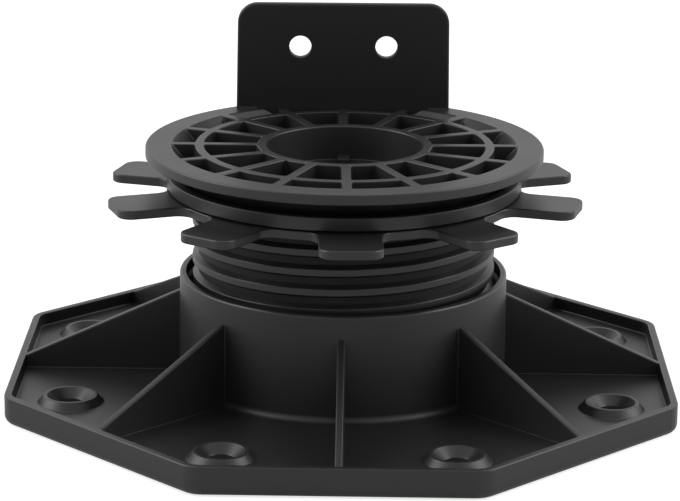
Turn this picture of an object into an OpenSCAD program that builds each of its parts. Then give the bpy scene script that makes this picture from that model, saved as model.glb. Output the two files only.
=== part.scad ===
// Adjustable screw pedestal for raised floors and decks: an octagonal base with a threaded
// collar, a hollow screw turned by a ring of paddles, a bearing disc, and a ribbed head
// whose upright tab is screwed to the side of a joist.
// Millimetres. Z is up, the floor is Z = 0, and the base's front side faces -Y.
// Turning the paddle ring screws the upper half in or out of the collar.

/* [Base] */
// Width of the octagon across its flats
base_flats = 200; // [190:1:210]
// Radius that rounds the corners of the octagon
base_corner_r = 5; // [2:0.5:8]
// Height of the raised rim above the floor
rim_h = 8.8; // [8:0.1:10]
// Thickness of the rim at its top
rim_w = 2.3; // [2:0.1:3]
// Height of the upper face of the base plate
plate_top = 4.7; // [4.2:0.1:5.2]
// Thickness of the base plate
plate_t = 3; // [2.5:0.1:3.5]
// Radius of the fillet where the collar meets the plate
collar_fillet = 2.5; // [1.5:0.5:4]

/* [Collar] */
// Outer diameter of the collar
collar_d = 100; // [99:0.1:101]
// Height of the collar's top above the floor
collar_h = 37.4; // [36:0.1:38]
// Inner diameter of the plain mouth above the thread
mouth_d = 96.1; // [95:0.1:96.5]
// Depth of the plain mouth
mouth_depth = 5; // [4:0.5:6]

/* [Gussets] */
// Height at which a gusset leaves the collar
gusset_h = 30.4; // [28:0.1:32]
// Thickness of a gusset
gusset_t = 2.2; // [1.8:0.1:2.6]

/* [Screw bosses] */
// Distance of the bosses from the axis
boss_place_r = 87.5; // [86:0.5:88]
// Height of a boss's rim above the floor
boss_h = 7; // [6.5:0.1:8]
// Diameter of a boss at its top
boss_top_d = 15.6; // [15:0.1:16]
// Diameter of a boss where it meets the plate
boss_foot_d = 20; // [18:0.5:21]
// Diameter of the countersink at its top
sink_d = 14.2; // [13:0.1:14.4]
// Depth of the countersink
sink_depth = 2.2; // [2:0.1:2.4]
// Diameter of the screw hole
boss_hole_d = 7.6; // [7:0.1:8]

/* [Thread] */
// Outer diameter of the screw's thread
thread_d = 92.2; // [92:0.1:92.4]
// Radial depth of the thread
thread_depth = 1.8; // [1.6:0.1:2]
// Rise of the thread in one turn
pitch = 6; // [5.6:0.1:6.4]
// Width of the flat crest
crest_w = 2; // [1.8:0.1:2.1]
// Clearance between the two threads, radially and along the axis
thread_gap = 0.4; // [0.3:0.05:0.45]
// Height of a crest's centre at the front
crest_at_front = 49.4; // [44:0.1:52]

/* [Screw] */
// Height of the paddle ring's lower face above the floor, as set
ring_z = 60.9; // [38:0.1:64]
// Length of the threaded stem below the paddle ring
stem_l = 36.9; // [34:0.1:37]
// Inner diameter of the hollow screw
screw_bore_d = 83.2; // [82:0.1:84]
// Thickness of the paddle ring
ring_t = 2.8; // [2.4:0.1:2.8]
// Diameter of the ring between its paddles
ring_d = 107.8; // [107:0.1:109]
// Number of paddles
paddle_count = 10; // [6:1:10]
// Distance of a paddle's end from the axis
paddle_r = 72.8; // [70:0.1:76]
// Width of a paddle
paddle_w = 18.4; // [16:0.1:19]
// Radius of a paddle's outer corners
paddle_corner_r = 4.3; // [3:0.1:6]
// Radius of the fillets at a paddle's root
paddle_root_r = 4.5; // [3:0.1:5]
// Turn of the paddle ring about the axis, as set
screw_turn = 2.3; // [0:0.1:10]

/* [Bearing disc] */
// Outer diameter of the bearing disc
disc_d = 107.6; // [107:0.1:108]
// Height of the disc's outer wall
disc_h = 4.2; // [4:0.1:4.4]
// Thickness of the disc's web
disc_web_t = 2.4; // [2:0.1:2.5]
// Thickness of the disc's outer wall
disc_wall_t = 2.6; // [2:0.1:3]
// Length of the spigot that centres the disc in the screw
spigot_l = 7; // [5:0.5:10]

/* [Head] */
// Diameter of the head
head_d = 120.6; // [119:0.1:122]
// Height of the head from its underside to its top face
head_h = 9.9; // [9:0.1:12]
// Thickness of the head's edge
head_edge_t = 3.3; // [3:0.1:3.6]
// Radius that softens the edge
head_edge_r = 0.7; // [0.4:0.1:1]
// Inner diameter of the flat outer ring
rim_ring_id = 105; // [104:0.1:106]
// Outer diameter of the middle ring
mid_ring_d = 90.6; // [90:0.1:91]
// Inner diameter of the middle ring
mid_ring_id = 85.2; // [84:0.1:86]
// Outer diameter of the hub
hub_d = 53; // [52.6:0.1:53.4]
// Bore of the hub
hub_bore_d = 47.2; // [46:0.1:48]
// Depth of the hub's bore, down to its inner ledge
hub_depth = 10.7; // [10:0.1:11]
// Diameter of the hole inside the ledge
ledge_hole_d = 34; // [30:0.5:36]
// Number of radial ribs
rib_count = 16; // [12:4:20]
// Thickness of a rib
rib_t = 2.8; // [2.2:0.1:3.2]
// Turn of the head about the axis, as set
head_turn = 1.3; // [0:0.1:10]

/* [Joist tab] */
// Width of the tab at its foot
tab_w = 67.5; // [60:0.1:68]
// How much narrower the tab is at its top
tab_taper = 0.9; // [0:0.1:2]
// Height of the tab above the head's top face
tab_h = 34; // [30:0.1:36]
// Thickness of the tab
tab_t = 3.2; // [2.8:0.1:3.4]
// Distance of the tab's front face from the axis
tab_y = 46; // [46:0.1:47]
// Radius of the tab's upper corners
tab_corner_r = 6.3; // [4:0.1:8]
// Diameter of the screw holes in the tab
tab_hole_d = 7; // [6:0.1:8]
// Distance between the screw holes
tab_hole_pitch = 27.2; // [24:0.1:30]
// Height of the screw holes above the head's top face
tab_hole_h = 20.2; // [18:0.1:22]
// Size of the fillet where the tab stands on the head
tab_fillet_r = 0.8; // [0.4:0.1:1.2]
// Width of the bevel on the tab's upright edges
tab_edge = 0.6; // [0.4:0.1:0.8]

/* [Hidden] */
$fn = 96;
tiny = 0.01;

sides = 8;
side_angle = 360 / sides;
// Radial clearance where one piece turns in another
running_fit = 0.08;
// Clearance between faces that slide on each other
face_gap = 0.3;

rim_inner = base_flats / 2 - rim_w;
// Width of the flat on which the rim stands, round the recess under the plate
standing_w = 6;
collar_r = collar_d / 2;

steps_a_turn = 72;
lead_steps = 6;
thread_r = thread_d / 2;
root_r = thread_r - thread_depth;
collar_bore_r = thread_r + thread_gap;
flank_w = (pitch - 2 * crest_w) / 2;
collar_thread_top = collar_h - mouth_depth;
collar_thread_bottom = 5.5;
// How far a ridge's foot is sunk into its wall, and how much wider it is there
ridge_sink = 1;
sink_w = ridge_sink * 2 * flank_w / thread_depth;
ridge_foot_w = crest_w + 2 * flank_w + sink_w;
// Height of the crest's centre at 0 degrees: it passes the front, at -90 degrees, at crest_at_front
crest_at_0 = crest_at_front + pitch * 90 / 360;

screw_bottom = ring_z - stem_l;
ring_top = ring_z + ring_t;
ring_r = ring_d / 2;
paddle_angle = 360 / paddle_count;

disc_z = ring_top + face_gap;
disc_top = disc_z + disc_h;
disc_r = disc_d / 2;
disc_bore_r = hub_d / 2 + running_fit;
spigot_r = screw_bore_d / 2 - running_fit;
spigot_t = 2.5;

head_r = head_d / 2;
head_z = disc_z + disc_web_t + 0.4;
head_top = head_z + head_h;
edge_z = head_top - head_edge_t;
cell_floor = head_z + 2.2;
hub_bottom = disc_z - 1.5;
ledge_z = head_top - hub_depth;
ledge_t = 2;
key_w = 4;
key_h = 1.5;
rim_ring_r = rim_ring_id / 2;
// The tab's foot between the cells is set back from both faces of the tab
foot_step = 0.2;
tab_foot_w = 8;
cone_foot_r = mid_ring_d / 2 + 1.2;

plastic = [0.10, 0.10, 0.105];
plastic_head = [0.12, 0.12, 0.125];

// Octagon with rounded corners: a straight side lies at distance a from the axis
module octagon(a, r) {
    corner_place = (a - r) / cos(side_angle / 2);
    points = [
        for (i = [0:sides - 1], side = [-1, 1])
            let (corner = (i + 0.5) * side_angle, normal = corner + side * side_angle / 2)
            corner_place * [cos(corner), sin(corner)] + r * [cos(normal), sin(normal)]
    ];
    polygon(points);
    for (i = [0:sides - 1]) rotate((i + 0.5) * side_angle) translate([corner_place, 0]) circle(r = r);
}

// Slab of the octagon, its lower and its upper edge softened by small chamfers
module octagon_slab(a, h, chamfer_low, chamfer_high) {
    difference() {
        linear_extrude(h) octagon(a, base_corner_r);
        for (i = [0:sides - 1]) rotate([90, 0, i * side_angle]) {
            linear_extrude(a, center = true)
                polygon([[a - chamfer_low - 1, -1], [a + 1, -1], [a + 1, chamfer_low + 1]]);
            linear_extrude(a, center = true)
                polygon([[a + 1, h - chamfer_high - 1], [a + 1, h + 1], [a - chamfer_high - 1, h + 1]]);
        }
    }
}

// Points of an arc round centre c
function arc(c, r, from, to, n) = [
    for (i = [0:n]) let (a = from + (to - from) * i / n) c + r * [cos(a), sin(a)]
];

// One section of a trapezoidal ridge. At t = 0 its crest lies on its foot, at t = 1 it has its full height.
function ridge_section(angle, z, foot_r, crest_r, foot_width, crest_width, t) =
    let (
        top_r = foot_r + t * (crest_r - foot_r),
        top_width = foot_width + t * (crest_width - foot_width),
        place = [cos(angle), sin(angle)]
    )
    [
        [foot_r * place.x, foot_r * place.y, z - foot_width / 2],
        [top_r * place.x, top_r * place.y, z - top_width / 2],
        [top_r * place.x, top_r * place.y, z + top_width / 2],
        [foot_r * place.x, foot_r * place.y, z + foot_width / 2]
    ];

// Trapezoidal ridge wound round the axis from z_low to z_high, running out at both ends
module ridge(foot_r, crest_r, foot_width, crest_width, z_low, z_high, z_at_0) {
    first = ceil((z_low - z_at_0) / pitch * steps_a_turn);
    last = floor((z_high - z_at_0) / pitch * steps_a_turn);
    count = last - first + 1;
    points = [
        for (i = [first:last])
            let (t = min(1, (i - first + 1) / lead_steps, (last - i + 1) / lead_steps))
            each ridge_section(
                i * 360 / steps_a_turn, z_at_0 + pitch * i / steps_a_turn,
                foot_r, crest_r, foot_width, crest_width, t
            )
    ];
    skin = [
        for (i = [0:count - 2], j = [0:3])
            let (a = 4 * i + j, b = 4 * i + (j + 1) % 4)
            each [[a, b, b + 4], [a, b + 4, a + 4]]
    ];
    ends = [[0, 3, 2, 1], [4 * count - 4, 4 * count - 3, 4 * count - 2, 4 * count - 1]];
    faces = concat(skin, ends);
    // A ridge that points inwards has its faces the other way round
    polyhedron(points, crest_r > foot_r ? faces : [for (f = faces) [for (k = [len(f) - 1:-1:0]) f[k]]]);
}

module base_plate() {
    difference() {
        octagon_slab(base_flats / 2, rim_h, 1.2, 0.4);
        translate([0, 0, plate_top]) linear_extrude(rim_h) octagon(rim_inner, base_corner_r - 2);
        // Shallow recess underneath, so that the base stands on its edge and its collar
        translate([0, 0, -1])
            linear_extrude(plate_top - plate_t + 1) octagon(base_flats / 2 - standing_w, base_corner_r);
        translate([0, 0, -1]) cylinder(h = rim_h, r = (collar_bore_r + 2 * collar_r) / 3);
    }
}

// Collar with its foot, the fillet round it, a softened top edge and a plain mouth above the thread
module collar() {
    foot_r = collar_r + collar_fillet;
    top_edge = 0.8;
    rotate_extrude() polygon([
        [collar_bore_r, 0], [collar_r + 2, 0], [collar_r + 2, plate_top - plate_t / 2],
        [foot_r, plate_top - plate_t / 2],
        each arc([foot_r, plate_top + collar_fillet - tiny], collar_fillet, 270, 180, 6),
        each arc([collar_r - top_edge, collar_h - top_edge], top_edge, 0, 90, 3),
        [mouth_d / 2 + 0.3, collar_h], [mouth_d / 2, collar_h - 0.3],
        [mouth_d / 2, collar_thread_top + 1.6], [collar_bore_r, collar_thread_top]
    ]);
}

// Thread inside the collar. It fills the groove of the screw's thread, less the clearance.
module collar_thread() {
    ridge(
        collar_bore_r + ridge_sink, root_r + thread_gap, ridge_foot_w - 2 * thread_gap,
        crest_w - 2 * thread_gap, collar_thread_bottom, collar_thread_top - 2, crest_at_0 + pitch / 2
    );
}

// Thin triangular wall from the collar down to the rim
module gusset() {
    foot = plate_top - 1;
    inner = collar_r - 1;
    outer = rim_inner + 0.5;
    rotate([90, 0, 0]) translate([0, 0, -gusset_t / 2]) linear_extrude(gusset_t)
        polygon([[inner, foot], [outer, foot], [outer, rim_h - 0.3], [inner, gusset_h + 0.4]]);
}

module boss() {
    rotate_extrude() polygon([
        [0, plate_top - 1], [boss_foot_d / 2 + 0.3, plate_top - 1], [boss_foot_d / 2, plate_top + 0.1],
        [boss_top_d / 2 + 0.3, boss_h - 0.3], [boss_top_d / 2, boss_h], [0, boss_h]
    ]);
}

module boss_hole() {
    rotate_extrude() polygon([
        [0, -1], [boss_hole_d / 2, -1], [boss_hole_d / 2, boss_h - sink_depth],
        [sink_d / 2, boss_h], [sink_d / 2 + 0.3, boss_h + 1], [0, boss_h + 1]
    ]);
}

module at_bosses() {
    for (i = [0:sides - 1]) rotate((i + 0.5) * side_angle) translate([boss_place_r, 0, 0]) children();
}

module base() {
    color(plastic) {
        difference() {
            union() {
                base_plate();
                collar();
                for (i = [0:sides - 1]) rotate(i * side_angle) gusset();
                at_bosses() boss();
            }
            at_bosses() boss_hole();
        }
        collar_thread();
    }
}

// Outline of one paddle, pointing along X, with round outer corners and a fillet on each side of its root
module paddle() {
    root = ring_r - 2;
    straight = paddle_r - paddle_corner_r;
    fillet_y = paddle_w / 2 + paddle_root_r;
    fillet_x = sqrt(pow(ring_r + paddle_root_r, 2) - pow(fillet_y, 2));
    touch = [fillet_x, fillet_y] * ring_r / (ring_r + paddle_root_r);
    translate([root, -paddle_w / 2]) square([straight - root, paddle_w]);
    translate([root, paddle_corner_r - paddle_w / 2])
        square([paddle_r - root, paddle_w - 2 * paddle_corner_r]);
    for (side = [-1, 1]) scale([1, side]) {
        translate([straight, paddle_w / 2 - paddle_corner_r]) circle(r = paddle_corner_r);
        difference() {
            polygon([
                [root, paddle_w / 2 - 1], [fillet_x, paddle_w / 2 - 1], [fillet_x, fillet_y],
                touch, [root - 1, paddle_w / 2 + 1]
            ]);
            translate([fillet_x, fillet_y]) circle(r = paddle_root_r);
        }
    }
}

module height_screw() {
    edge = 0.3;
    color(plastic) {
        // Hollow stem and the ring at its top
        rotate_extrude() polygon([
            [screw_bore_d / 2, screw_bottom], [root_r - 0.8, screw_bottom], [root_r, screw_bottom + 0.8],
            [root_r, ring_z], [ring_r - edge, ring_z], [ring_r, ring_z + edge],
            [ring_r, ring_top - edge], [ring_r - edge, ring_top], [screw_bore_d / 2, ring_top]
        ]);
        rotate(screw_turn - 90) translate([0, 0, ring_z]) linear_extrude(ring_t)
            for (i = [0:paddle_count - 1]) rotate(i * paddle_angle) paddle();
        ridge(
            root_r - ridge_sink, thread_r, ridge_foot_w, crest_w,
            screw_bottom + ridge_foot_w / 2 + 0.1, ring_top - ridge_foot_w / 2 - 0.1, crest_at_0
        );
    }
}

// Ring-shaped disc with an outer wall, centred in the screw by a spigot and bored for the head's hub
module bearing_disc() {
    edge = 0.4;
    web_top = disc_z + disc_web_t;
    spigot_end = disc_z - spigot_l;
    color(plastic) rotate_extrude() polygon([
        [disc_bore_r, disc_z], [spigot_r - spigot_t, disc_z], [spigot_r - spigot_t, spigot_end],
        [spigot_r - 0.5, spigot_end], [spigot_r, spigot_end + 0.5], [spigot_r, disc_z],
        [disc_r - edge, disc_z], [disc_r, disc_z + edge], [disc_r, disc_top - edge],
        [disc_r - edge, disc_top], [disc_r - disc_wall_t, disc_top],
        [disc_r - disc_wall_t - 1, web_top], [disc_bore_r, web_top]
    ]);
}

// Rim with the cone under it, the web inside it and the hub: one section turned round the axis
module head_block() {
    hub_r = hub_d / 2;
    bore_r = hub_bore_d / 2;
    rotate_extrude() polygon([
        // Hub, up the outside from its lower end, and the cone under the rim
        [ledge_hole_d / 2, ledge_z - ledge_t], [bore_r, ledge_z - ledge_t], [bore_r, hub_bottom],
        [hub_r - 0.3, hub_bottom], [hub_r, hub_bottom + 0.3], [hub_r, head_z],
        [cone_foot_r + 1.2, head_z], [cone_foot_r + 2.2, head_z + 0.6], [rim_ring_r + 2.2, edge_z],
        // Rim
        [head_r - head_edge_r, edge_z], [head_r - head_edge_r * 0.3, edge_z + head_edge_r * 0.3],
        [head_r, edge_z + head_edge_r], [head_r, head_top - head_edge_r],
        [head_r - head_edge_r * 0.3, head_top - head_edge_r * 0.3], [head_r - head_edge_r, head_top],
        // Bore of the hub and the ledge in it
        [bore_r + 0.5, head_top], [bore_r, head_top - 0.5], [bore_r, ledge_z], [ledge_hole_d / 2, ledge_z]
    ]);
}

// Cells sunk into the head from above, parted by the middle ring, the ribs and the foot of the tab.
// Their outer wall slopes like the cone under it; it is a ring of narrow flats.
module cells() {
    depth = head_top - cell_floor + 0.01;
    flats_r = 1 / cos(15);
    difference() {
        translate([0, 0, cell_floor]) intersection_for (turn = [0, 7.5, 15, 22.5]) rotate(turn)
            cylinder(h = depth, r1 = (cone_foot_r - 0.6) * flats_r, r2 = rim_ring_r * flats_r, $fn = 12);
        translate([0, 0, cell_floor - 1]) difference() {
            cylinder(h = depth + 2, d = mid_ring_d);
            translate([0, 0, -1]) cylinder(h = depth + 4, d = mid_ring_id);
        }
        translate([0, 0, cell_floor - 1]) cylinder(h = depth + 2, d = hub_d);
        for (i = [0:rib_count / 2 - 1]) rotate(i * 360 / rib_count)
            translate([-head_r, -rib_t / 2, 0]) cube([head_d, rib_t, head_top + 1]);
        translate([-tab_w / 2, tab_y + foot_step, 0])
            cube([tab_w, tab_t - 2 * foot_step, head_top + 1]);
    }
}

// Outline of the tab seen from the front: sides that draw in a little, and round upper corners.
// At both sides it goes down into the rim, and between them it stands on the top face.
module tab_outline() {
    foot = head_top - 1.5;
    stance = sqrt(pow(rim_ring_r, 2) - pow(tab_y, 2)) + 1;
    top = head_top + tab_h;
    lean = atan(tab_taper / 2 / tab_h);
    corner_z = top - tab_corner_r;
    corner_x = tab_w / 2 - (corner_z - head_top) * tan(lean) - tab_corner_r / cos(lean);
    touch = [corner_x + tab_corner_r * cos(lean), corner_z + tab_corner_r * sin(lean)];
    polygon([
        [tab_w / 2, foot], [tab_w / 2, head_top], touch, [corner_x, corner_z],
        [corner_x, top], [-corner_x, top], [-corner_x, corner_z], [-touch.x, touch.y], [-tab_w / 2, head_top],
        [-tab_w / 2, foot], [-stance, foot], [-stance, head_top], [stance, head_top], [stance, foot]
    ]);
    for (side = [-1, 1]) translate([side * corner_x, corner_z]) circle(r = tab_corner_r);
}

module joist_tab() {
    lean = atan(tab_taper / 2 / tab_h);
    difference() {
        rotate([90, 0, 0]) translate([0, 0, -tab_y - tab_t]) linear_extrude(tab_t) difference() {
            tab_outline();
            for (side = [-1, 1])
                translate([side * tab_hole_pitch / 2, head_top + tab_hole_h]) circle(d = tab_hole_d);
        }
        // Softened upright edges
        for (side = [-1, 1], y = [tab_y, tab_y + tab_t])
            translate([side * tab_w / 2, y, head_top]) rotate([0, -side * lean, 0]) rotate(45)
                cube([tab_edge * sqrt(2), tab_edge * sqrt(2), 2 * tab_h], center = true);
    }
    // The foot between the cells goes on up into the tab
    translate([-tab_foot_w / 2, tab_y + foot_step, cell_floor])
        cube([tab_foot_w, tab_t - 2 * foot_step, head_top - cell_floor + 1]);
    // Small fillets along the foot, where it stands on the rim
    intersection() {
        rotate([90, 0, 90]) linear_extrude(tab_w - 2 * tab_edge, center = true) polygon([
            [tab_y - tab_fillet_r, head_top], [tab_y - tab_fillet_r, head_top - 0.5],
            [tab_y + tab_t + tab_fillet_r, head_top - 0.5], [tab_y + tab_t + tab_fillet_r, head_top],
            [tab_y + tab_t, head_top + tab_fillet_r], [tab_y, head_top + tab_fillet_r]
        ]);
        difference() {
            cylinder(h = 2 * head_top, r = head_r - head_edge_r - 0.2);
            translate([0, 0, -1]) cylinder(h = 2 * head_top + 2, r = rim_ring_r + 0.3);
        }
    }
}

// Key on the ledge in the hub's bore, below the tab
module bore_key() {
    intersection() {
        translate([-key_w / 2, ledge_hole_d / 2 + 0.5, ledge_z - 0.5]) cube([key_w, hub_d, key_h + 0.5]);
        cylinder(h = head_top, r = hub_bore_d / 2 + 0.5);
    }
}

module head() {
    color(plastic_head) rotate(head_turn) {
        difference() {
            head_block();
            cells();
        }
        joist_tab();
        bore_key();
    }
}

base();
height_screw();
bearing_disc();
head();
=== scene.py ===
import math

import bmesh
import bpy
from mathutils import Matrix, Vector


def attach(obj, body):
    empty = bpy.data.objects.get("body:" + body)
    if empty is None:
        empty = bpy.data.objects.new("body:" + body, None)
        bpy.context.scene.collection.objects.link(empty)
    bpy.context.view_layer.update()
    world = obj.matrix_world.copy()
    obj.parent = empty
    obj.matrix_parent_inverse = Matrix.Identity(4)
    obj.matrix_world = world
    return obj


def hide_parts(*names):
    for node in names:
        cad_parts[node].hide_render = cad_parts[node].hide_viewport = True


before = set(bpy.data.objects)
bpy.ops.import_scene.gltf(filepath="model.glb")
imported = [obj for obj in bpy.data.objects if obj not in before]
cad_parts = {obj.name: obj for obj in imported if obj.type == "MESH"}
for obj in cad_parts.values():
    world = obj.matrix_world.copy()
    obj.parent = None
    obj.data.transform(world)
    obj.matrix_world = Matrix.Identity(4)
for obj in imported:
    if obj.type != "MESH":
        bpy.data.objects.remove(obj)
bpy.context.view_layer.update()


# ---------------------------------------------------------------------------
# Camera. It stands in front of the pedestal and a little above it, far enough
# away that the base keeps its shape, and looks down on the head.
# ---------------------------------------------------------------------------
camera_place = (-0.00105, -0.87516, 0.29335)
camera_side_turn = 0.0081
camera_look_down = 0.2784
camera_roll = 0.0111

camera_data = bpy.data.cameras.new("camera")
camera_data.lens = 157.46
camera_data.sensor_width = 36.0
camera_data.clip_start = 0.02
camera_data.clip_end = 30.0
camera = bpy.data.objects.new("camera", camera_data)
camera.matrix_world = (
    Matrix.Rotation(camera_side_turn, 4, "Z")
    @ Matrix.Translation(camera_place)
    @ Matrix.Rotation(math.pi / 2 - camera_look_down, 4, "X")
    @ Matrix.Rotation(camera_roll, 4, "Z")
)
bpy.context.scene.collection.objects.link(camera)
bpy.context.scene.camera = camera


# ---------------------------------------------------------------------------
# Base. One injection moulding in black polypropylene: an octagonal plate with
# a raised rim, eight screw bosses, eight gussets and a collar with an inner
# thread. It lies on the floor and is screwed down through its bosses.
# Sizes are in millimetres.
# ---------------------------------------------------------------------------
apothem = 100.0
corner_r = 8.0
recess_corner_r = 5.0
foot_round = 2.4
rim_height = 8.8
rim_width = 2.3
rim_foot = 4.2
plate_top = 4.7
plate_under = 1.7
standing_width = 6.0
collar_r = 50.0
collar_height = 37.4
collar_fillet = 2.5
collar_foot_r = 52.0
collar_bore_r = 46.5
bore_top = 32.4
mouth_r = 48.05
mouth_depth = 3.4
gusset_top = 30.4
gusset_half = 1.1
boss_place_r = 87.5
boss_foot_r = 11.2
boss_top = 7.0
screw_hole_r = 3.8

pitch = 6.0
inner_crest_r = 44.7
inner_foot_r = 47.5
crest_at_front = 49.4
crest_at_0 = crest_at_front + pitch / 4


def soften(points, closed=True, steps=5):
    """Rounds the corners of an outline. Each point is (x, y, radius of its corner)."""
    out = []
    count = len(points)
    for i, (x, y, radius) in enumerate(points):
        here = Vector((x, y))
        if radius <= 0 or (not closed and i in (0, count - 1)):
            out.append(here)
            continue
        before = Vector(points[i - 1][:2]) - here
        after = Vector(points[(i + 1) % count][:2]) - here
        half = before.angle(after) / 2
        reach = min(radius / math.tan(half), 0.48 * before.length, 0.48 * after.length)
        radius = reach * math.tan(half)
        before.normalize()
        after.normalize()
        middle = here + (before + after).normalized() * radius / math.sin(half)
        start = here + before * reach - middle
        sweep = start.angle_signed(here + after * reach - middle)
        for k in range(steps + 1):
            turn = -sweep * k / steps
            c, s = math.cos(turn), math.sin(turn)
            out.append(middle + Vector((c * start.x - s * start.y, s * start.x + c * start.y)))
    return out


def add_ring(bm, points):
    return [bm.verts.new(p) for p in points]


def skin(bm, rings, wrap=False):
    """Quads between rings of equally many points. With wrap, the last ring joins the first."""
    pairs = list(zip(rings, rings[1:]))
    if wrap:
        pairs.append((rings[-1], rings[0]))
    for low, high in pairs:
        for i in range(len(low)):
            j = (i + 1) % len(low)
            bm.faces.new((low[i], low[j], high[j], high[i]))


def fill_flat(bm, rings):
    """Flat face inside the first ring, with the other rings as its holes."""
    edges = []
    for ring in rings:
        for i, vert in enumerate(ring):
            pair = (ring[i - 1], vert)
            edges.append(bm.edges.get(pair) or bm.edges.new(pair))
    bmesh.ops.triangle_fill(bm, use_beauty=True, edges=edges)


def circle(r, z, count, centre=(0.0, 0.0)):
    turn = 2 * math.pi / count
    return [
        (centre[0] + r * math.cos(i * turn), centre[1] + r * math.sin(i * turn), z)
        for i in range(count)
    ]


def octagon(inset, z, corner=None, steps=6):
    """Ring of the octagon, drawn in from its outside by inset."""
    a = apothem - inset
    r = max(1.0, corner_r - inset) if corner is None else corner
    eighth = math.pi / 8
    out = []
    for side in range(8):
        middle = (2 * side + 1) * eighth
        place = (a - r) / math.cos(eighth)
        for k in range(steps + 1):
            angle = middle - eighth + 2 * eighth * k / steps
            out.append((
                place * math.cos(middle) + r * math.cos(angle),
                place * math.sin(middle) + r * math.sin(angle),
                z,
            ))
    return out


def wind(bm, section, foot_r, z_low, z_high, z_at_0, steps=120, lead=10):
    """Winds a ridge round the axis. Its section is (radius, height) and runs out at both ends."""
    first = math.ceil((z_low - z_at_0) / pitch * steps)
    last = math.floor((z_high - z_at_0) / pitch * steps)
    rings = []
    for i in range(first, last + 1):
        grown = min(1.0, (i - first + 0.5) / lead, (last - i + 0.5) / lead)
        grown = math.sin(grown * math.pi / 2)
        angle = 2 * math.pi * i / steps
        z = z_at_0 + pitch * i / steps
        ring = []
        for r, dz in section:
            r = foot_r + (r - foot_r) * grown
            ring.append((r * math.cos(angle), r * math.sin(angle), z + dz))
        rings.append(add_ring(bm, ring))
    skin(bm, rings)
    bm.faces.new(rings[0])
    bm.faces.new(rings[-1])


def shade_evenly(mesh, sharp=math.radians(38)):
    """Gives each face corner the normal of the faces round it, in which wide flat faces count most,
    so that only the rounded edges between them bend the light. Also marks the rounded edges."""
    wide_area, narrow_gap = 2e-5, 0.0012
    faces = mesh.polygons
    planes = {}
    keys = []
    for f in faces:
        n, d = f.normal, f.normal.dot(f.center) * 1000
        key = (round(n.x, 3), round(n.y, 3), round(n.z, 3), round(d, 1))
        planes[key] = planes.get(key, 0.0) + f.area
        keys.append(key)
    corner_of = [dict(zip(f.vertices, f.loop_indices)) for f in faces]
    group = list(range(len(mesh.loops)))

    def head_of(i):
        while group[i] != i:
            group[i] = group[group[i]]
            i = group[i]
        return i

    sides = {}
    for f in faces:
        for pair in f.edge_keys:
            sides.setdefault(pair, []).append(f.index)
    bend = [0.0] * len(faces)
    for pair, on in sides.items():
        if len(on) != 2:
            continue
        a, b = faces[on[0]], faces[on[1]]
        angle = a.normal.angle(b.normal, 0.0)
        if angle > sharp:
            continue
        for v in pair:
            group[head_of(corner_of[on[0]][v])] = head_of(corner_of[on[1]][v])
        gap = (b.center - a.center).length
        if angle > 0.1 and (b.center - a.center).dot(a.normal) < 0 and gap < narrow_gap:
            for index in on:
                bend[index] = max(bend[index], min(1.0, angle / 0.3))
    total = {}
    for f, key in zip(faces, keys):
        for loop in f.loop_indices:
            h = head_of(loop)
            total[h] = total.get(h, Vector((0, 0, 0))) + f.normal * planes[key]
    mesh.normals_split_custom_set([total[head_of(i)].normalized() for i in range(len(mesh.loops))])
    edge = mesh.attributes.new("edge", "FLOAT", "CORNER")
    values = [0.0] * len(mesh.loops)
    for f in faces:
        wide = planes[keys[f.index]] > wide_area
        for loop in f.loop_indices:
            values[loop] = 0.0 if wide else bend[f.index]
    edge.data.foreach_set("value", values)


def make_piece(bm, name, node, body, materials):
    """Turns a mesh built in millimetres into a piece that stands for a CAD node."""
    bmesh.ops.recalc_face_normals(bm, faces=bm.faces)
    bmesh.ops.transform(bm, matrix=Matrix.Scale(0.001, 4), verts=bm.verts)
    for f in bm.faces:
        f.smooth = True
    mesh = bpy.data.meshes.new(name)
    bm.to_mesh(mesh)
    bm.free()
    shade_evenly(mesh)
    for material in materials:
        mesh.materials.append(material)
    piece = bpy.data.objects.new(name, mesh)
    bpy.context.scene.collection.objects.link(piece)
    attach(piece, body)
    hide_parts(node)


def new_group(name, inputs, outputs):
    group = bpy.data.node_groups.new(name, "ShaderNodeTree")
    for label, kind, value in inputs:
        socket = group.interface.new_socket(name=label, in_out="INPUT", socket_type=kind)
        socket.default_value = value
    for label, kind in outputs:
        group.interface.new_socket(name=label, in_out="OUTPUT", socket_type=kind)
    return group, group.nodes.new("NodeGroupInput"), group.nodes.new("NodeGroupOutput")


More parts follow.
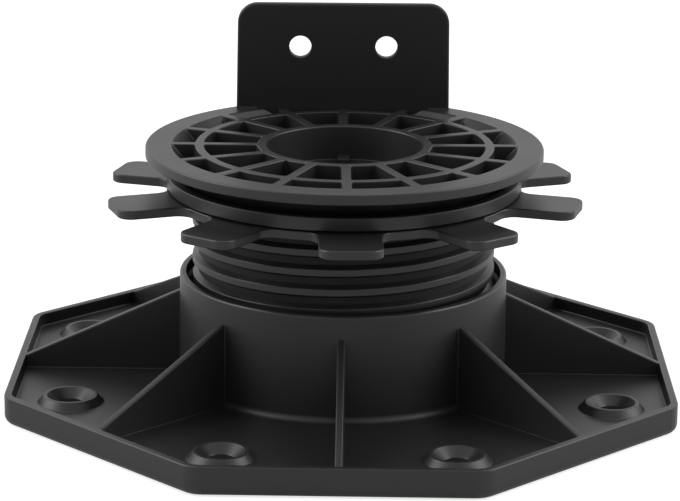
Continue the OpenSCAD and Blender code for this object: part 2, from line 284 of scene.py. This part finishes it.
def moulded_tone_group():
    """Colour and roughness of moulded plastic: faint flow patches, and a painted highlight that makes
    the rounded edges a little brighter.
    """
    group, given, result = new_group(
        "moulded_tone",
        [
            ("Plastic", "NodeSocketColor", (0.012, 0.012, 0.0125, 1)),
            ("Painted edge highlight", "NodeSocketColor", (0.02, 0.02, 0.021, 1)),
            ("Roughness", "NodeSocketFloat", 0.42),
            ("Patch size", "NodeSocketFloat", 60.0),
            ("Patchiness", "NodeSocketFloat", 0.06),
        ],
        [("Color", "NodeSocketColor"), ("Roughness", "NodeSocketFloat")],
    )
    nodes, links = group.nodes, group.links
    place = nodes.new("ShaderNodeTexCoord")
    patches = nodes.new("ShaderNodeTexNoise")
    patches.inputs["Detail"].default_value = 3.0
    links.new(place.outputs["Object"], patches.inputs["Vector"])
    links.new(given.outputs["Patch size"], patches.inputs["Scale"])
    edge = nodes.new("ShaderNodeAttribute")
    edge.attribute_name = "edge"
    # Patches run from half a step darker to half a step brighter
    swing = nodes.new("ShaderNodeMath")
    swing.operation = "SUBTRACT"
    links.new(patches.outputs["Fac"], swing.inputs[0])
    swing.inputs[1].default_value = 0.5
    share = nodes.new("ShaderNodeMath")
    share.operation = "MULTIPLY"
    links.new(swing.outputs[0], share.inputs[0])
    links.new(given.outputs["Patchiness"], share.inputs[1])
    rough = nodes.new("ShaderNodeMath")
    rough.operation = "ADD"
    links.new(given.outputs["Roughness"], rough.inputs[0])
    links.new(share.outputs[0], rough.inputs[1])
    polished = nodes.new("ShaderNodeMath")
    polished.operation = "MULTIPLY_ADD"
    links.new(edge.outputs["Fac"], polished.inputs[0])
    polished.inputs[1].default_value = -0.05
    links.new(rough.outputs[0], polished.inputs[2])
    links.new(polished.outputs[0], result.inputs["Roughness"])
    # Fine speckle breaks up the painted highlight on the rounded edges
    speckle = nodes.new("ShaderNodeTexNoise")
    speckle.inputs["Scale"].default_value = 700.0
    speckle.inputs["Detail"].default_value = 2.0
    links.new(place.outputs["Object"], speckle.inputs["Vector"])
    edge_highlight = nodes.new("ShaderNodeMath")
    edge_highlight.operation = "MULTIPLY"
    links.new(edge.outputs["Fac"], edge_highlight.inputs[0])
    links.new(speckle.outputs["Fac"], edge_highlight.inputs[1])
    tone = nodes.new("ShaderNodeMix")
    tone.data_type = "RGBA"
    links.new(edge_highlight.outputs[0], tone.inputs["Factor"])
    links.new(given.outputs["Plastic"], tone.inputs["A"])
    links.new(given.outputs["Painted edge highlight"], tone.inputs["B"])
    gain = nodes.new("ShaderNodeMath")
    gain.operation = "ADD"
    gain.inputs[1].default_value = 1.0
    links.new(share.outputs[0], gain.inputs[0])
    shaded = nodes.new("ShaderNodeVectorMath")
    shaded.operation = "SCALE"
    links.new(tone.outputs["Result"], shaded.inputs[0])
    links.new(gain.outputs[0], shaded.inputs["Scale"])
    links.new(shaded.outputs[0], result.inputs["Color"])
    return group


def moulded_grain_group():
    """Grain of a spark-eroded mould: two sizes of pits, given as a normal."""
    group, given, result = new_group(
        "moulded_grain",
        [("Depth", "NodeSocketFloat", 0.35), ("Grain", "NodeSocketFloat", 2600.0)],
        [("Normal", "NodeSocketVector")],
    )
    nodes, links = group.nodes, group.links
    place = nodes.new("ShaderNodeTexCoord")
    fine = nodes.new("ShaderNodeTexNoise")
    fine.inputs["Detail"].default_value = 3.0
    links.new(place.outputs["Object"], fine.inputs["Vector"])
    links.new(given.outputs["Grain"], fine.inputs["Scale"])
    coarse = nodes.new("ShaderNodeTexNoise")
    coarse.inputs["Scale"].default_value = 420.0
    coarse.inputs["Detail"].default_value = 2.0
    links.new(place.outputs["Object"], coarse.inputs["Vector"])
    both = nodes.new("ShaderNodeMath")
    both.operation = "MULTIPLY_ADD"
    links.new(coarse.outputs["Fac"], both.inputs[0])
    both.inputs[1].default_value = 0.6
    links.new(fine.outputs["Fac"], both.inputs[2])
    bump = nodes.new("ShaderNodeBump")
    bump.inputs["Distance"].default_value = 0.00003
    links.new(given.outputs["Depth"], bump.inputs["Strength"])
    links.new(both.outputs[0], bump.inputs["Height"])
    links.new(bump.outputs["Normal"], result.inputs["Normal"])
    return group


moulded_tone = moulded_tone_group()
moulded_grain = moulded_grain_group()


def moulded_plastic(name, colour, highlight_colour, roughness, gloss, depth, patchiness):
    """Black moulded plastic with its own tone, grain and gloss, and a painted highlight on its rounded
    edges.
    """
    material = bpy.data.materials.new(name)
    material.use_nodes = True
    nodes, links = material.node_tree.nodes, material.node_tree.links
    shader = nodes["Principled BSDF"]
    tone = nodes.new("ShaderNodeGroup")
    tone.node_tree = moulded_tone
    tone.inputs["Plastic"].default_value = (*colour, 1)
    tone.inputs["Painted edge highlight"].default_value = (*highlight_colour, 1)
    tone.inputs["Roughness"].default_value = roughness
    tone.inputs["Patchiness"].default_value = patchiness
    grain = nodes.new("ShaderNodeGroup")
    grain.node_tree = moulded_grain
    grain.inputs["Depth"].default_value = depth
    links.new(tone.outputs["Color"], shader.inputs["Base Color"])
    links.new(tone.outputs["Roughness"], shader.inputs["Roughness"])
    links.new(grain.outputs["Normal"], shader.inputs["Normal"])
    shader.inputs["Specular IOR Level"].default_value = gloss
    return material


# Each plastic's second colour is the painted highlight on its rounded edges
base_plastic = moulded_plastic(
    "base_plastic", (0.013, 0.013, 0.0135), (0.022, 0.022, 0.023),
    roughness=0.42, gloss=0.5, depth=0.35, patchiness=0.08,
)


def build_gusset(bm, angle):
    """Thin upright wall from the collar down to the rim, with a soft top and fillets at its foot."""
    foot_fillet, top_round = 0.25, 0.5
    rim_inside = apothem - rim_width
    outer = rim_inside + 0.5
    slope = (rim_height - 0.3 - gusset_top) / (outer - collar_r)

    def flare(d):
        d = max(d, 0.0)
        if d >= foot_fillet:
            return 0.0
        return foot_fillet - math.sqrt(foot_fillet**2 - (foot_fillet - d) ** 2)

    def rounding(d):
        if d >= top_round:
            return 0.0
        return top_round - math.sqrt(top_round**2 - (top_round - d) ** 2)

    # Distances from what it stands on and from its top, close together where it is rounded
    near_foot = [0.0, 0.06, 0.14, 0.25, 0.8]
    near_top = [0.8, 0.5, 0.3, 0.15, 0.04, 0.0]
    across = [collar_r - 0.8] + [collar_r + d for d in near_foot]
    across += [collar_r + 0.8 + (outer - 2.1 - collar_r) * k / 12 for k in range(1, 12)]
    across += [rim_inside - d for d in reversed(near_foot)] + [outer]
    columns = []
    for s in across:
        top = gusset_top + slope * (s - collar_r)
        heights = [plate_top - 0.7] + [plate_top + d for d in near_foot]
        heights += [plate_top + 0.8 + (top - plate_top - 1.6) * k / 4 for k in range(1, 4)]
        heights += [top - d for d in near_top]
        column = []
        for z in heights:
            half = gusset_half + flare(z - plate_top) + flare(s - collar_r)
            half += flare(rim_inside - s) - rounding((top - z) * 0.92)
            column.append((s, half, z))
        columns.append(column)
    turn = Matrix.Rotation(angle, 3, "Z")
    grid = {}
    for side in (-1, 1):
        for i, column in enumerate(columns):
            for j, (s, half, z) in enumerate(column):
                grid[side, i, j] = bm.verts.new(turn @ Vector((s, side * half, z)))
    rows, cols = len(columns[0]), len(columns)
    for side in (-1, 1):
        for i in range(cols - 1):
            for j in range(rows - 1):
                bm.faces.new((
                    grid[side, i, j], grid[side, i + 1, j],
                    grid[side, i + 1, j + 1], grid[side, i, j + 1],
                ))
    for i in range(cols - 1):
        for j in (0, rows - 1):
            bm.faces.new((grid[-1, i, j], grid[-1, i + 1, j], grid[1, i + 1, j], grid[1, i, j]))
    for j in range(rows - 1):
        for i in (0, cols - 1):
            bm.faces.new((grid[-1, i, j], grid[-1, i, j + 1], grid[1, i, j + 1], grid[1, i, j]))


def build_base():
    bm = bmesh.new()
    # Recess underneath, standing edge, side, rim and the foot of its inner wall
    rim_section = soften([
        (standing_width, plate_under, 0), (standing_width, 0, 0.2), (0, 0, foot_round),
        (0, rim_height, 0.45), (rim_width, rim_height, 0.4), (rim_width, plate_top, 0.6),
        (rim_foot, plate_top, 0),
    ], closed=False)
    rim = []
    for inset, z in rim_section:
        in_recess = inset > rim_foot + 0.3
        rim.append(add_ring(bm, octagon(inset, z, recess_corner_r if in_recess else None)))
    skin(bm, rim)
    # Fillet at the collar's foot, its wall, mouth and bore, and its foot on the floor
    collar_section = soften([
        (54.5, plate_top, 0), (collar_r, plate_top, collar_fillet), (collar_r, collar_height, 0.8),
        (mouth_r, collar_height, 0.35), (mouth_r, collar_height - mouth_depth, 0.3),
        (collar_bore_r, bore_top, 0.3), (collar_bore_r, 0, 0.3), (collar_foot_r, 0, 0.3),
        (collar_foot_r, plate_under, 0),
    ], closed=False)
    collar = [add_ring(bm, circle(r, z, 192)) for r, z in collar_section]
    skin(bm, collar)
    # Screw bosses: a low cone, a narrow lip, the countersink and the hole through the plate
    boss_section = soften([
        (boss_foot_r, plate_top, 0), (9.9, plate_top, 0.9), (8.0, boss_top, 0.5),
        (7.0, boss_top, 0.4), (screw_hole_r, 4.4, 0.5), (screw_hole_r, plate_under, 0),
    ], closed=False, steps=4)
    boss_feet, boss_holes = [], []
    for i in range(8):
        angle = (2 * i + 1) * math.pi / 8
        centre = (boss_place_r * math.cos(angle), boss_place_r * math.sin(angle))
        boss = [add_ring(bm, circle(r, z, 56, centre)) for r, z in boss_section]
        skin(bm, boss)
        boss_feet.append(boss[0])
        boss_holes.append(boss[-1])
    fill_flat(bm, [rim[-1], collar[0], *boss_feet])
    fill_flat(bm, [rim[0], collar[-1], *boss_holes])
    for i in range(8):
        build_gusset(bm, i * math.pi / 4)
    # Thread inside the collar, seen from below and through the open foot
    wind(
        bm,
        soften([
            (inner_foot_r, -2.1, 0), (collar_bore_r, -1.6, 0), (inner_crest_r, -0.6, 0.2),
            (inner_crest_r, 0.6, 0.2), (collar_bore_r, 1.6, 0), (inner_foot_r, 2.1, 0),
        ], steps=2),
        foot_r=inner_foot_r, z_low=5.5, z_high=30.4, z_at_0=crest_at_0 + pitch / 2, steps=96,
    )
    make_piece(bm, "base_moulding", "base", "base", [base_plastic])


build_base()


# ---------------------------------------------------------------------------
# Height screw. One moulding in the same black polypropylene: a hollow stem
# with a coarse rounded thread, and at its top a flat ring with ten paddles,
# by which it is turned by hand in the base's collar.
# ---------------------------------------------------------------------------
stem_bottom = 24.0
stem_r = 44.3
stem_bore_r = 41.6
thread_r = 46.1
thread_foot_r = 43.3
ring_under = 60.9
ring_fillet = 1.2
ring_over = 63.7
ring_r = 53.9
paddle_count = 10
paddle_reach = 72.8
paddle_half = 9.2
paddle_corner = 4.3
paddle_root = 4.5
screw_turn = math.radians(2.3 - 90)

screw_plastic = moulded_plastic(
    "screw_plastic", (0.012, 0.012, 0.0125), (0.022, 0.022, 0.023),
    roughness=0.42, gloss=0.5, depth=0.3, patchiness=0.08,
)
# The thread's root is more matt than its crests, and its darker colour is painted shade where the
# groove lies in shadow
root_painted_shade_plastic = moulded_plastic(
    "thread_root_painted_shade_plastic", (0.0105, 0.0105, 0.011), (0.014, 0.014, 0.0145),
    roughness=0.56, gloss=0.2, depth=0.5, patchiness=0.05,
)


def paddle_outline():
    """Outline of the ring and its paddles: each point with the direction that faces outwards."""
    fillet_y = paddle_half + paddle_root
    fillet_x = math.sqrt((ring_r + paddle_root) ** 2 - fillet_y**2)
    touch = math.atan2(fillet_y, fillet_x)
    half_gap = math.pi / paddle_count
    right = []
    # Ring between two paddles, root fillet, straight side, rounded corner and end
    for k in range(4):
        angle = -half_gap + (half_gap - touch) * k / 4
        c, s = math.cos(angle), math.sin(angle)
        right.append((ring_r * c, ring_r * s, c, s))
    start, stop = math.pi - touch, math.pi / 2
    for k in range(9):
        angle = start + (stop - start) * k / 8
        c, s = math.cos(angle), math.sin(angle)
        right.append((fillet_x + paddle_root * c, -fillet_y + paddle_root * s, -c, -s))
    straight = paddle_reach - paddle_corner
    for k in range(1, 3):
        right.append((fillet_x + (straight - fillet_x) * k / 3, -paddle_half, 0, -1))
    for k in range(9):
        angle = -math.pi / 2 + math.pi / 2 * k / 8
        c, s = math.cos(angle), math.sin(angle)
        y = paddle_corner - paddle_half + paddle_corner * s
        right.append((straight + paddle_corner * c, y, c, s))
    right.append((paddle_reach, (paddle_corner - paddle_half) / 2, 1, 0))
    left = [(x, -y, nx, -ny) for x, y, nx, ny in reversed(right[1:])]
    one = right + [(paddle_reach, 0, 1, 0)] + left
    out = []
    for i in range(paddle_count):
        turn = Matrix.Rotation(screw_turn + i * 2 * half_gap, 2)
        out += [(turn @ Vector((x, y)), turn @ Vector((nx, ny))) for x, y, nx, ny in one]
    return out


def build_screw():
    bm = bmesh.new()
    outline = paddle_outline()
    angles = [math.atan2(p.y, p.x) for p, n in outline]

    def round_ring(r, z):
        return add_ring(bm, [(r * math.cos(a), r * math.sin(a), z) for a in angles])

    def paddle_ring(inset, z):
        return add_ring(bm, [(*(p - n * inset), z) for p, n in outline])

    stem = soften([
        (stem_bore_r, 40, 0), (stem_bore_r, stem_bottom, 0.3), (stem_r, stem_bottom, 0.8),
        (stem_r, ring_under, ring_fillet), (47, ring_under, 0),
    ], closed=False)
    rings = [round_ring(r, z) for r, z in stem]
    edge = soften([
        (1.0, ring_under, 0), (0, ring_under, 0.45), (0, ring_over, 0.5), (1.0, ring_over, 0),
    ], closed=False)
    rings += [paddle_ring(inset, z) for inset, z in edge]
    mouth = soften([
        (46, ring_over, 0), (stem_bore_r, ring_over, 0.4), (stem_bore_r, 50, 0),
    ], closed=False)
    rings += [round_ring(r, z) for r, z in mouth]
    skin(bm, rings, wrap=True)
    # The stem's outside below the ring's fillet is the thread's root; it takes the matt material with
    # the painted shade
    for face in bm.faces:
        centre = face.calc_center_median()
        outside = math.hypot(centre.x, centre.y) > stem_r - 0.6
        if outside and centre.z < ring_under - ring_fillet - 0.1:
            face.material_index = 1
    wind(
        bm,
        soften([
            (thread_foot_r, -2.55, 0), (stem_r, -2.0, 0), (thread_r, -1.0, 0.3),
            (thread_r, 1.0, 0.3), (stem_r, 2.0, 0), (thread_foot_r, 2.55, 0),
        ], steps=3),
        foot_r=thread_foot_r, z_low=stem_bottom + 2.6, z_high=61.0, z_at_0=crest_at_0,
    )
    materials = [screw_plastic, root_painted_shade_plastic]
    make_piece(bm, "threaded_stem_and_paddles", "height_screw", "height_screw", materials)


build_screw()


# ---------------------------------------------------------------------------
# Bearing disc. A round black moulding with an upright outer wall; its spigot
# centres it in the hollow screw, and the head's hub turns in its bore.
# ---------------------------------------------------------------------------
disc_bore_r = 26.58
disc_r = 53.8
disc_under = 64.0
disc_floor = 66.4
disc_wall_top = 68.2
spigot_bottom = 57.0
spigot_inner_r = 39.02
spigot_outer_r = 41.52

disc_plastic = moulded_plastic(
    "disc_plastic", (0.012, 0.012, 0.0125), (0.02, 0.02, 0.021),
    roughness=0.42, gloss=0.5, depth=0.3, patchiness=0.06,
)


def build_disc():
    bm = bmesh.new()
    section = soften([
        (disc_bore_r, disc_under, 0.25), (spigot_inner_r, disc_under, 0.3),
        (spigot_inner_r, spigot_bottom, 0.3), (spigot_outer_r, spigot_bottom, 0.5),
        (spigot_outer_r, disc_under, 0), (disc_r, disc_under, 0.45),
        (disc_r, disc_wall_top, 0.45), (51.2, disc_wall_top, 0.3),
        (50.2, disc_floor, 0.5), (disc_bore_r, disc_floor, 0.25),
    ])
    skin(bm, [add_ring(bm, circle(r, z, 224)) for r, z in section], wrap=True)
    make_piece(bm, "bearing_disc_moulding", "bearing_disc", "bearing_disc", [disc_plastic])


build_disc()


# ---------------------------------------------------------------------------
# Head. One black moulding: a round plate lightened by two rows of cells with
# ribs between them, a hub that turns in the bearing disc, and an upright tab
# with two holes through which it is screwed to the side of a joist.
# ---------------------------------------------------------------------------
head_top = 76.7
head_under = 66.8
edge_under = 73.4
head_r = 60.3
rim_ring_r = 52.5
mid_outer_r = 45.3
mid_inner_r = 42.6
hub_r = 26.5
hub_bore_r = 23.6
hub_bottom = 62.5
ledge_under = 64.0
ledge_top = 66.0
ledge_hole_r = 17.0
cell_floor = 69.0
rib_half = 1.4
rib_count = 16
tab_front = 46.0
tab_thick = 3.2
tab_half = 33.75
tab_top_half = 33.3
tab_high = 34.0
tab_corner = 6.3
tab_hole_r = 3.5
tab_hole_x = 13.6
tab_hole_z = head_top + 20.2
head_turn = math.radians(1.3)

head_plastic = moulded_plastic(
    "head_plastic", (0.014, 0.014, 0.0145), (0.024, 0.024, 0.025),
    roughness=0.44, gloss=0.5, depth=0.35, patchiness=0.08,
)
tab_plastic = moulded_plastic(
    "tab_plastic", (0.0122, 0.0122, 0.0127), (0.022, 0.022, 0.023),
    roughness=0.52, gloss=0.27, depth=0.5, patchiness=0.04,
)


def cell_outline(inner, outer, out, corner, cell):
    """Outline of a cell between two rings and two ribs, made larger by out, with round corners."""

    def at(r, a):
        return Vector((r * math.cos(a), r * math.sin(a)))

    half_angle = math.pi / rib_count
    side = rib_half - out
    r_in, r_out = inner - out, outer + out
    in_angle = half_angle - math.asin(side / r_in)
    out_angle = half_angle - math.asin(side / r_out)
    # Corners of the cell, seen along its middle; each side of a rib is parallel to the rib
    corners = [(r_out, -out_angle), (r_out, out_angle), (r_in, in_angle), (r_in, -in_angle)]
    corners = [at(r, a) for r, a in corners]
    bend = min(corner, (r_out - r_in) * 0.3)
    path = []

    def along(r, start, stop, count):
        for k in range(count + 1):
            path.append(at(r, start + (stop - start) * k / count))

    def turn_corner(before, tip, after):
        # Round corner between the last point of one side and the first of the next
        for k in range(1, 5):
            t = k / 5
            path.append(before * (1 - t) ** 2 + tip * 2 * t * (1 - t) + after * t**2)

    back_out, back_in = bend / r_out, bend / r_in
    rib_1 = (corners[2] - corners[1]).normalized() * bend
    rib_2 = (corners[3] - corners[0]).normalized() * bend
    along(r_out, -out_angle + back_out, out_angle - back_out, 10)
    turn_corner(path[-1], corners[1], corners[1] + rib_1)
    path.append(corners[1] + rib_1)
    path.append(corners[2] - rib_1)
    turn_corner(path[-1], corners[2], at(r_in, in_angle - back_in))
    along(r_in, in_angle - back_in, -in_angle + back_in, 10)
    turn_corner(path[-1], corners[3], corners[3] - rib_2)
    path.append(corners[3] - rib_2)
    path.append(corners[0] + rib_2)
    turn_corner(path[-1], corners[0], at(r_out, -out_angle + back_out))
    middle = Matrix.Rotation(head_turn + (2 * cell + 1) * half_angle, 2)
    return [middle @ p for p in path]


def build_cell(bm, inner, outer_at, cell):
    """Cell sunk from the head's top, its upper edge a little round. Returns its ring in the top."""
    soft = 0.3
    rings, levels = [], []
    for k in range(4):
        a = math.pi / 2 * k / 4
        levels.append((soft * (1 - math.sin(a)), head_top - soft * (1 - math.cos(a))))
    for z in (head_top - soft, 75.4, 74.0, 72.6, 71.2, 69.9, cell_floor):
        levels.append((0.0, z))
    for out, z in levels:
        outline = cell_outline(inner, outer_at(z), out, 0.8 + out, cell)
        rings.append(add_ring(bm, [(p.x, p.y, z) for p in outline]))
    skin(bm, rings)
    bm.faces.new(rings[-1])
    return rings[0]


def build_tab(bm):
    """Upright tab with rounded edges, two holes and a foot that goes down between the cells."""
    turn = Matrix.Rotation(head_turn, 3, "Z")
    foot, foot_bottom, foot_half = 74.5, 68.9, 25.3
    half_at_foot = tab_half + 0.03
    tab_top = head_top + tab_high
    outline = [
        (half_at_foot, foot, 0), (tab_half, head_top, 0), (tab_top_half, tab_top, tab_corner),
        (-tab_top_half, tab_top, tab_corner), (-tab_half, head_top, 0), (-half_at_foot, foot, 0),
    ]
    # Underside of the foot: hidden in the rim at the sides, down to the cells' floor in the middle
    for k in range(-8, 9):
        x = foot_half * k / 8
        outline.append((x, foot_bottom + 5.6 * (x / foot_half) ** 2, 0))
    outline = soften(outline, steps=10)
    middle = Vector((0, 94))
    count = len(outline)
    outward = []
    for i, p in enumerate(outline):
        before, after = outline[i - 1], outline[(i + 1) % count]
        along = (after - before).normalized()
        side = Vector((along.y, -along.x))
        outward.append(side if side.dot(p - middle) > 0 else -side)

    def ring_at(inset, depth):
        return add_ring(bm, [
            turn @ Vector(((p - n * inset).x, tab_front + depth, (p - n * inset).y))
            for p, n in zip(outline, outward)
        ])

    edge = soften([
        (1.6, 0, 0), (0, 0, 0.85), (0, tab_thick, 0.85), (1.6, tab_thick, 0),
    ], closed=False, steps=6)
    sides = [ring_at(inset, depth) for inset, depth in edge]
    skin(bm, sides)
    fronts, backs = [sides[0]], [sides[-1]]
    hole_edge = soften([
        (0.6, 0, 0), (0, 0, 0.35), (0, tab_thick, 0.35), (0.6, tab_thick, 0),
    ], closed=False, steps=4)
    for side in (-1, 1):
        hole = []
        for out, depth in hole_edge:
            r = tab_hole_r + out
            hole.append(add_ring(bm, [
                turn @ Vector((side * tab_hole_x + x, tab_front + depth, tab_hole_z + z))
                for x, z, _ in circle(r, 0, 48)
            ]))
        skin(bm, hole)
        fronts.append(hole[0])
        backs.append(hole[-1])
    fill_flat(bm, fronts)
    fill_flat(bm, backs)
    # Small fillets where the tab stands on the rim
    r = 0.8
    for y, way, reach_in in ((tab_front, -1, 27.2), (tab_front + tab_thick, 1, 17.5)):
        for side in (-1, 1):
            inside, sunk = y - way * 0.2, head_top - 0.2
            section = [(inside, head_top + r), (inside, sunk), (y + way * r, sunk)]
            for k in range(6):
                a = math.pi / 2 * k / 5
                section.append((y + way * r * (1 - math.sin(a)), head_top + r * (1 - math.cos(a))))
            ends = []
            for x in (side * reach_in, side * 33.1):
                ends.append(add_ring(bm, [turn @ Vector((x, v, z)) for v, z in section]))
            skin(bm, ends)
            bm.faces.new(ends[0])
            bm.faces.new(ends[1])


def build_head():
    bm = bmesh.new()
    # From the top face over the rim, under the cone and the web, and round the hub up to its bore
    section = soften([
        (58.0, head_top, 0), (head_r, head_top, 0.6), (head_r, edge_under, 0.5),
        (54.7, edge_under, 0.6), (48.4, head_under + 0.3, 0.6), (46.5, head_under, 0.4),
        (hub_r, head_under, 0.4),
        (hub_r, hub_bottom, 0.3), (hub_bore_r, hub_bottom, 0.2), (hub_bore_r, ledge_under, 0.2),
        (ledge_hole_r, ledge_under, 0.2), (ledge_hole_r, ledge_top, 0.2), (hub_bore_r, ledge_top, 0.3),
        (hub_bore_r, head_top, 0.5), (24.6, head_top, 0),
    ], closed=False)
    shell = [add_ring(bm, circle(r, z, 256)) for r, z in section]
    skin(bm, shell)
    slope = (rim_ring_r - 46.0) / (head_top - cell_floor)
    cells = []
    for i in range(rib_count):
        cells.append(build_cell(bm, mid_outer_r, lambda z: rim_ring_r - (head_top - z) * slope, i))
        cells.append(build_cell(bm, hub_r, lambda z: mid_inner_r, i))
    fill_flat(bm, [shell[0], shell[-1], *cells])
    # Key on the ledge at the foot of the bore's back wall
    turn = Matrix.Rotation(head_turn, 3, "Z")
    key_half, key_front, key_back = 2, 17.6, 24.2
    rings = []
    for inset, z in ((0, 65.6), (0, 67.2), (0.1, 67.42), (0.3, 67.5)):
        half, front = key_half - inset, key_front + inset
        key = [(-half, front), (half, front), (half, key_back), (-half, key_back)]
        rings.append(add_ring(bm, [turn @ Vector((x, y, z)) for x, y in key]))
    skin(bm, rings)
    bm.faces.new(rings[0])
    bm.faces.new(rings[-1])
    plate_faces = len(bm.faces)
    build_tab(bm)
    bm.faces.ensure_lookup_table()
    for face in bm.faces[plate_faces:]:
        face.material_index = 1
    make_piece(bm, "head_plate_and_tab", "head", "head", [head_plastic, tab_plastic])


build_head()


# ---------------------------------------------------------------------------
# Studio. A plain white floor that runs on behind the pedestal, two large soft
# lamps at the sides and an even pale surround, which is dimmer in front.
# ---------------------------------------------------------------------------
def build_floor():
    paper_low, paper_high = 0.52, 0.56
    glow_seen, glow_mirrored = 0.72, 0.3
    far, near = 4.0, 1.0
    bm = bmesh.new()
    cuts = [-far, -near, near, far]
    grid = [[bm.verts.new((x, y, 0)) for x in cuts] for y in cuts]
    for j in range(3):
        for i in range(3):
            bm.faces.new((grid[j][i], grid[j][i + 1], grid[j + 1][i + 1], grid[j + 1][i]))
    mesh = bpy.data.meshes.new("studio_floor")
    bm.to_mesh(mesh)
    bm.free()
    floor = bpy.data.objects.new("studio_floor", mesh)
    bpy.context.scene.collection.objects.link(floor)
    material = bpy.data.materials.new("white_paper")
    material.use_nodes = True
    nodes, links = material.node_tree.nodes, material.node_tree.links
    shader = nodes["Principled BSDF"]
    shader.inputs["Roughness"].default_value = 0.9
    shader.inputs["Specular IOR Level"].default_value = 0.1
    shader.inputs["Emission Color"].default_value = (1, 1, 1, 1)
    place = nodes.new("ShaderNodeTexCoord")
    fibre = nodes.new("ShaderNodeTexNoise")
    fibre.inputs["Scale"].default_value = 300.0
    links.new(place.outputs["Object"], fibre.inputs["Vector"])
    paper = nodes.new("ShaderNodeMix")
    paper.data_type = "RGBA"
    paper.inputs["A"].default_value = (paper_low, paper_low, paper_low, 1)
    paper.inputs["B"].default_value = (paper_high, paper_high, paper_high, 1)
    links.new(fibre.outputs["Fac"], paper.inputs["Factor"])
    links.new(paper.outputs["Result"], shader.inputs["Base Color"])
    rays = nodes.new("ShaderNodeLightPath")
    seen = nodes.new("ShaderNodeMath")
    seen.operation = "MAXIMUM"
    links.new(rays.outputs["Is Camera Ray"], seen.inputs[0])
    links.new(rays.outputs["Is Transmission Ray"], seen.inputs[1])
    mirrored = nodes.new("ShaderNodeMath")
    mirrored.operation = "MULTIPLY"
    links.new(rays.outputs["Is Glossy Ray"], mirrored.inputs[0])
    mirrored.inputs[1].default_value = glow_mirrored
    glow = nodes.new("ShaderNodeMath")
    glow.operation = "MULTIPLY_ADD"
    links.new(seen.outputs[0], glow.inputs[0])
    glow.inputs[1].default_value = glow_seen
    links.new(mirrored.outputs[0], glow.inputs[2])
    links.new(glow.outputs[0], shader.inputs["Emission Strength"])
    mesh.materials.append(material)


def build_surround():
    front_light, back_light, diffuse_share = 0.5, 1.0, 0.6
    world = bpy.data.worlds.new("surround")
    bpy.context.scene.world = world
    world.use_nodes = True
    nodes, links = world.node_tree.nodes, world.node_tree.links
    background = nodes["Background"]
    background.inputs["Color"].default_value = (1, 1, 1, 1)
    rays = nodes.new("ShaderNodeLightPath")
    way = nodes.new("ShaderNodeTexCoord")
    split = nodes.new("ShaderNodeSeparateXYZ")
    links.new(way.outputs["Generated"], split.inputs[0])
    # Dimmer in front of the pedestal than at its sides and behind it
    fade = nodes.new("ShaderNodeMapRange")
    fade.inputs["From Min"].default_value = -1.0
    fade.inputs["From Max"].default_value = 0.1
    fade.inputs["To Min"].default_value = front_light
    fade.inputs["To Max"].default_value = back_light
    links.new(split.outputs["Y"], fade.inputs["Value"])
    lit = nodes.new("ShaderNodeMath")
    lit.operation = "MULTIPLY"
    links.new(fade.outputs[0], lit.inputs[0])
    lit.inputs[1].default_value = diffuse_share
    mirrored = nodes.new("ShaderNodeMix")
    links.new(rays.outputs["Is Glossy Ray"], mirrored.inputs["Factor"])
    links.new(lit.outputs[0], mirrored.inputs["A"])
    links.new(fade.outputs[0], mirrored.inputs["B"])
    seen = nodes.new("ShaderNodeMath")
    seen.operation = "MAXIMUM"
    links.new(rays.outputs["Is Camera Ray"], seen.inputs[0])
    links.new(rays.outputs["Is Transmission Ray"], seen.inputs[1])
    strength = nodes.new("ShaderNodeMix")
    links.new(seen.outputs[0], strength.inputs["Factor"])
    links.new(mirrored.outputs["Result"], strength.inputs["A"])
    strength.inputs["B"].default_value = 1.0
    links.new(strength.outputs["Result"], background.inputs["Strength"])


def add_softbox(name, place, size, watts):
    lamp = bpy.data.lights.new(name, "AREA")
    lamp.shape = "RECTANGLE"
    lamp.size, lamp.size_y = size
    lamp.energy = watts
    box = bpy.data.objects.new(name, lamp)
    box.location = place
    aim = Vector((0, 0, 0.05)) - Vector(place)
    box.rotation_euler = aim.to_track_quat("-Z", "Y").to_euler()
    bpy.context.scene.collection.objects.link(box)


build_floor()
build_surround()
add_softbox("softbox_left", place=(-1.1, 0.0, 0.75), size=(0.9, 0.9), watts=9.0)
add_softbox("softbox_right", place=(1.1, 0.0, 0.75), size=(0.9, 0.9), watts=9.0)
bpy.context.scene.view_settings.view_transform = "Standard"
